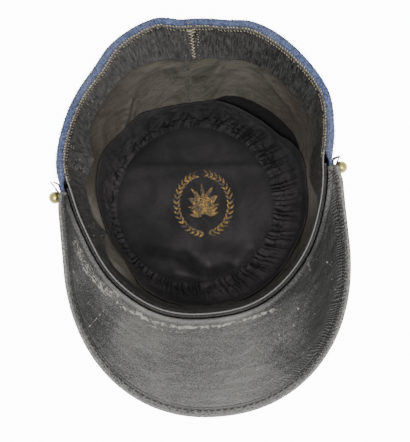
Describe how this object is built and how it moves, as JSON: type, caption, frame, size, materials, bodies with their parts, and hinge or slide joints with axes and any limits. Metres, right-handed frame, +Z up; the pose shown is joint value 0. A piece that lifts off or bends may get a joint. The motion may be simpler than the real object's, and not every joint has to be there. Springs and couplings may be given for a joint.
{
  "type": "kepi cap",
  "caption": "Kepi cap on the flat top of its crown, opening up, with a leather sweatband, gathered lining, curved leather peak and a chin strap between ball buttons.",
  "frame": {"origin": "middle of the crown top's outer face, on the surface that the cap lies on", "axes": "+Z up out of the opening, -Y towards the peak, +Y towards the back of the head, +X towards the right in the picture"},
  "size_m": [0.193, 0.251, 0.1143],
  "materials": {
    "blue_wool": "faded blue wool cloth with a short nap",
    "black_leather": "thin grained black leather, rubbed grey in places",
    "glazed_cotton": "stained brown-grey glazed cotton",
    "black_cotton": "soft black cotton sateen",
    "peak_leather": "black leather worn to grey, cracked and scuffed",
    "button_brass": "pale polished brass"
  },
  "bodies": {
    "root": {"crown_wall": "blue_wool", "crown_top": "blue_wool", "sweatband": "black_leather", "side_lining": "glazed_cotton", "gathered_lining": "black_cotton", "tip_lining": "black_cotton", "peak": "peak_leather", "peak_binding": "peak_leather", "chin_strap": "black_leather", "button_right": "button_brass", "button_left": "button_brass"}
  },
  "joints": []
}
